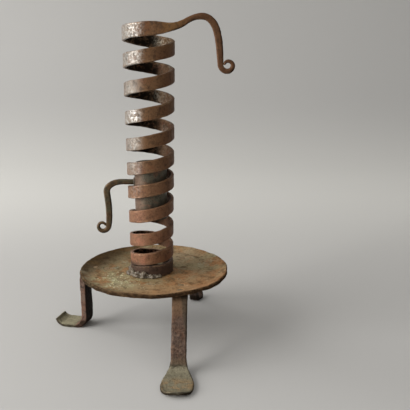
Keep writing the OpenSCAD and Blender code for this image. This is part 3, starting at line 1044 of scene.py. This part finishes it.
class FinishRack:
    """Builds each finish once and hands out its material."""

    def __init__(self) -> None:
        """Builds the node groups that the finishes share."""
        self.rust = build_rust_group()
        self.wear = build_wear_group()
        self.made: dict[str, bpy.types.Material] = {}

    def get(self, finish: IronFinish) -> bpy.types.Material:
        """Finds the material of a finish.

        Args:
            finish: The finish.

        Returns:
            Its material.
        """
        if finish.name not in self.made:
            self.made[finish.name] = finish.build(self.rust, self.wear)
        return self.made[finish.name]


@dataclass
class Stand:
    """The spiral strip, pan, legs, rivets and solder, which stay put."""

    pan_floor: float = 52 * MM
    splash_count: int = 60
    splash_seed: int = 11
    splash_azimuth: tuple[float, float] = (222, 17)
    splash_reach: tuple[float, float] = (33, 8)
    splash_limits: tuple[float, float] = (22.0, 45.0)

    def build(self, rack: FinishRack) -> None:
        """Builds every piece of the stand.

        Args:
            rack: The rack of finishes.
        """
        SpiralStripCopy("spiral_strip", "worn_strip", Body.STAND, STRIP_IRON, seed=1.0).place(rack)
        PanCopy("drip_pan", "hammered_pan", Body.STAND, PAN_IRON, voxel=0.52 * MM,
                relax_rounds=2, dent=0.22 * MM, dent_size=11 * MM, seed=5.0).place(rack)
        legs = {"front_leg": FRONT_LEG_IRON, "left_leg": LEFT_LEG_IRON, "rear_leg": REAR_LEG_IRON}
        for number, (leg, finish) in enumerate(legs.items()):
            LegCopy(leg, "worn_" + leg, Body.STAND, finish, voxel=0.32 * MM,
                    relax_rounds=2, dent=0.22 * MM, seed=9.0 + number).place(rack)
        WornCopy("leg_rivets", "worn_rivets", Body.STAND, RIVET_IRON, voxel=0.35 * MM,
                 dent=0.08 * MM, pit=0.05 * MM, seed=14.0).place(rack)
        SolderCopy("foot_solder", "foot_solder_lumps", Body.STAND, SOLDER, voxel=0.3 * MM,
                   dent=0.35 * MM, dent_size=1.6 * MM, pit=0.25 * MM, pit_size=0.8 * MM,
                   seed=17.0).place(rack)
        self.splashes(rack)

    def splashes(self, rack: FinishRack) -> None:
        """Lays small flat drops on the pan, left of and before the strip's foot.

        Args:
            rack: The rack of finishes.
        """
        nearest, farthest = self.splash_limits
        draw = Random(self.splash_seed)
        bm = bmesh.new()
        for _ in range(self.splash_count):
            angle = math.radians(draw.gauss(*self.splash_azimuth))
            reach = min(farthest, max(nearest, draw.gauss(*self.splash_reach))) * MM
            size = draw.uniform(0.2, 0.6) * MM
            flat = Matrix.Diagonal((draw.uniform(0.8, 2.8), draw.uniform(0.6, 1.2), 0.3, 1.0))
            spot = Vector((reach * math.cos(angle), reach * math.sin(angle), self.pan_floor))
            turn = Matrix.Rotation(draw.uniform(0, math.tau), 4, "Z")
            bmesh.ops.create_icosphere(bm, subdivisions=2, radius=size,
                                       matrix=Matrix.Translation(spot) @ turn @ flat)
        mesh = bpy.data.meshes.new("pan_splashes")
        bm.to_mesh(mesh)
        bm.free()
        mesh.materials.append(rack.get(WAX))
        make_piece("pan_splashes", mesh, Body.STAND)


@dataclass
class CandleCup:
    """The cup with its floor, and the lever that is soldered to it."""

    radius: float = 12.5 * MM
    bore: float = 11.6 * MM
    bead: float = 0.22 * MM
    turns: int = 96
    rings: int = 24
    seam_azimuth: float = 60.0
    seam_lift: float = 0.2 * MM
    dent: float = 0.16 * MM
    dent_size: float = 9 * MM
    shrink: float = 0.05 * MM

    def build(self, rack: FinishRack) -> None:
        """Builds the cup's tube, dresses its floor, and builds the lever.

        Args:
            rack: The rack of finishes.
        """
        self.tube(rack)
        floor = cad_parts["cup_floor"]
        floor.data.materials.clear()
        floor.data.materials.append(rack.get(CUP_SHEET))
        LeverCopy("lever", "worn_lever", Body.CUP, LEVER_IRON, voxel=0.35 * MM,
                  dent=0.1 * MM, dent_size=5 * MM, pit=0.07 * MM, pit_size=1.2 * MM,
                  seed=21.0).place(rack)
        WornCopy("lever_solder", "lever_solder_lump", Body.CUP, SOLDER, voxel=0.2 * MM,
                 dent=0.1 * MM, dent_size=1.2 * MM, pit=0.05 * MM, seed=25.0).place(rack)

    def tube(self, rack: FinishRack) -> None:
        """Spins the tube from its profile, with a rolled rim and a lap seam.

        Args:
            rack: The rack of finishes.
        """
        low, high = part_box("cup_wall")
        bm = bmesh.new()
        heights = [low.z + (high.z - low.z) * i / self.rings for i in range(self.rings)]
        wall = [(self.radius, z) for z in heights]
        rim = [(self.radius + self.bead, high.z - 1.1 * MM),
               (self.radius + self.bead, high.z - 0.35 * MM),
               ((self.radius + self.bore) / 2, high.z),
               (self.bore, high.z - 0.4 * MM)]
        inside = [(self.bore, z) for z in reversed(heights)]
        profile = [bm.verts.new((r, 0, z)) for r, z in wall + rim + inside]
        edges = [bm.edges.new(pair) for pair in zip(profile, profile[1:] + profile[:1])]
        bmesh.ops.spin(bm, geom=profile + edges, cent=(0, 0, 0), axis=(0, 0, 1),
                       angle=math.tau, steps=self.turns, use_merge=True, use_duplicate=False)
        bmesh.ops.remove_doubles(bm, verts=bm.verts, dist=MERGE)
        bmesh.ops.recalc_face_normals(bm, faces=bm.faces)
        bm.normal_update()
        seam = math.radians(self.seam_azimuth)
        for vertex in bm.verts:
            point = vertex.co.copy()
            out = Vector((point.x, point.y, 0)).normalized()
            past = (math.atan2(point.y, point.x) - seam) % math.tau
            lap = smooth_step(past, 0.0, 0.08) * (1 - smooth_step(past, 0.1, 0.5))
            dent = self.dent * noise.fractal(point / self.dent_size, 1.0, 2.0, 3)
            vertex.co += out * (dent + self.seam_lift * lap - self.shrink)
        soot_and_shade = [smooth_step(-v.normal.x * v.co.x - v.normal.y * v.co.y, 0, 0.6 * self.bore)
                for v in bm.verts]
        wear = [smooth_step(v.co.z, high.z - 1.6 * MM, high.z) for v in bm.verts]
        mesh = bpy.data.meshes.new("cup_tube")
        bm.to_mesh(mesh)
        bm.free()
        mark_points(mesh, wear, soot_and_shade)
        mesh.materials.append(rack.get(CUP_SHEET))
        make_piece("cup_tube", mesh, Body.CUP, ("cup_wall",))


@dataclass(frozen=True)
class Lamp:
    """A square soft lamp."""

    name: str
    spot: tuple[float, float, float]
    aim: tuple[float, float, float]
    size: float
    watts: float
    tint: tuple[float, float, float] = (1.0, 1.0, 1.0)

    def hang(self) -> None:
        """Hangs the lamp at its spot and aims it."""
        data = bpy.data.lights.new(self.name, "AREA")
        data.shape = "SQUARE"
        data.size = self.size
        data.energy = self.watts
        data.color = self.tint
        lamp = bpy.data.objects.new(self.name, data)
        look = Vector(self.aim) - Vector(self.spot)
        lamp.matrix_world = (Matrix.Translation(self.spot)
                             @ look.to_track_quat("-Z", "Y").to_matrix().to_4x4())
        bpy.context.scene.collection.objects.link(lamp)


@dataclass
class Studio:
    """The camera at the photograph's place, soft lights and a pale seamless floor with a painted
    band of light.
    """

    eye: tuple[float, float, float] = (42.1 * MM, -489.3 * MM, 231.9 * MM)
    tilt: float = 14.40
    roll: float = 0.29
    lens: float = 56.65
    floor_colour: Colour = screen(192, 190, 186)
    # A paler band across the floor and the sweep: a painted pool of light.
    painted_light_colour: Colour = screen(218, 216, 210)
    painted_light_band: tuple[float, float, float, float] = (0.08, 0.50, 0.55, 1.25)
    depth: float = 0.7
    width: float = 4.0
    sweep: float = 1.5
    wall: float = 2.0
    world_colour: Colour = screen(226, 226, 226)
    world_strength: float = 0.45
    lamps: tuple[Lamp, ...] = (
        Lamp("window", (-1.25, -0.55, 0.58), (0, 0, 0.12), 1.1, 27.0),
        Lamp("room", (0.2, -1.6, 1.6), (0, 0, 0.1), 1.6, 6.0, (1.0, 0.98, 0.95)),
        Lamp("backdrop", (-1.6, 0.7, 1.3), (-0.2, 1.8, 0.3), 1.2, 14.0))

    def build(self) -> None:
        """Builds the camera, the lights, the world and the floor."""
        scene = bpy.context.scene
        scene.view_settings.view_transform = "Standard"
        camera = bpy.data.objects.new("camera", bpy.data.cameras.new("camera"))
        camera.data.lens = self.lens
        camera.data.sensor_width = 36.0
        camera.data.clip_start = 0.01
        turn = Matrix.Rotation(math.radians(90 - self.tilt), 4, "X")
        roll = Matrix.Rotation(math.radians(self.roll), 4, "Z")
        camera.matrix_world = Matrix.Translation(self.eye) @ turn @ roll
        scene.collection.objects.link(camera)
        scene.camera = camera
        for lamp in self.lamps:
            lamp.hang()
        world = bpy.data.worlds.new("room_light")
        world.use_nodes = True
        background = world.node_tree.nodes["Background"]
        background.inputs["Color"].default_value = self.world_colour
        background.inputs["Strength"].default_value = self.world_strength
        scene.world = world
        self.floor()

    def floor(self) -> None:
        """Spins and extrudes the seamless floor and backdrop, and paints a paler band of light
        across them.
        """
        bm = bmesh.new()
        start = [bm.verts.new((-self.width, y, 0)) for y in (-self.width, self.depth)]
        bm.edges.new(start)
        spun = bmesh.ops.spin(bm, geom=[start[1]], cent=(-self.width, self.depth, self.sweep),
                              axis=(1, 0, 0), angle=math.radians(88), steps=24,
                              use_merge=False, use_duplicate=False)
        last = next(g for g in spun["geom_last"] if isinstance(g, bmesh.types.BMVert))
        top = bmesh.ops.extrude_vert_indiv(bm, verts=[last])["verts"][0]
        top.co.z += self.wall
        wide = bmesh.ops.extrude_edge_only(bm, edges=bm.edges[:])["geom"]
        moved = [g for g in wide if isinstance(g, bmesh.types.BMVert)]
        bmesh.ops.translate(bm, verts=moved, vec=(2 * self.width, 0, 0))
        bmesh.ops.recalc_face_normals(bm, faces=bm.faces)
        mesh = bpy.data.meshes.new("seamless_floor")
        bm.to_mesh(mesh)
        bm.free()
        for polygon in mesh.polygons:
            polygon.use_smooth = True
        material = bpy.data.materials.new("floor_paper")
        material.use_nodes = True
        bench = Bench(material.node_tree)
        shader = material.node_tree.nodes["Principled BSDF"]
        place = bench.node("TexCoord").outputs["Object"]
        blotch = bench.cloud(place, 3.0, 3.0)
        r, g, b, _ = self.floor_colour
        darker = (0.97 * r, 0.97 * g, 0.97 * b, 1.0)
        along = bench.node("SeparateXYZ", Vector=place).outputs["Y"]
        # Painted light: a paler band across the floor and the sweep.
        rise, crest, turn, fall = self.painted_light_band
        share = bench.times(bench.span(along, rise, crest),
                            bench.span(along, turn, fall, 1, 0))
        paper = bench.mix(blotch, self.floor_colour, darker)
        bench.feed(shader.inputs["Base Color"], bench.mix(share, paper, self.painted_light_colour))
        shader.inputs["Roughness"].default_value = 0.9
        mesh.materials.append(material)
        stage = bpy.data.objects.new("seamless_floor", mesh)
        bpy.context.scene.collection.objects.link(stage)


def main() -> None:
    """Builds the holder and its studio."""
    logging.basicConfig(level=logging.INFO, format="%(name)s %(message)s")
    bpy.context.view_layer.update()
    Studio().build()
    rack = FinishRack()
    Stand().build(rack)
    CandleCup().build(rack)


if __name__ == "__main__":
    main()
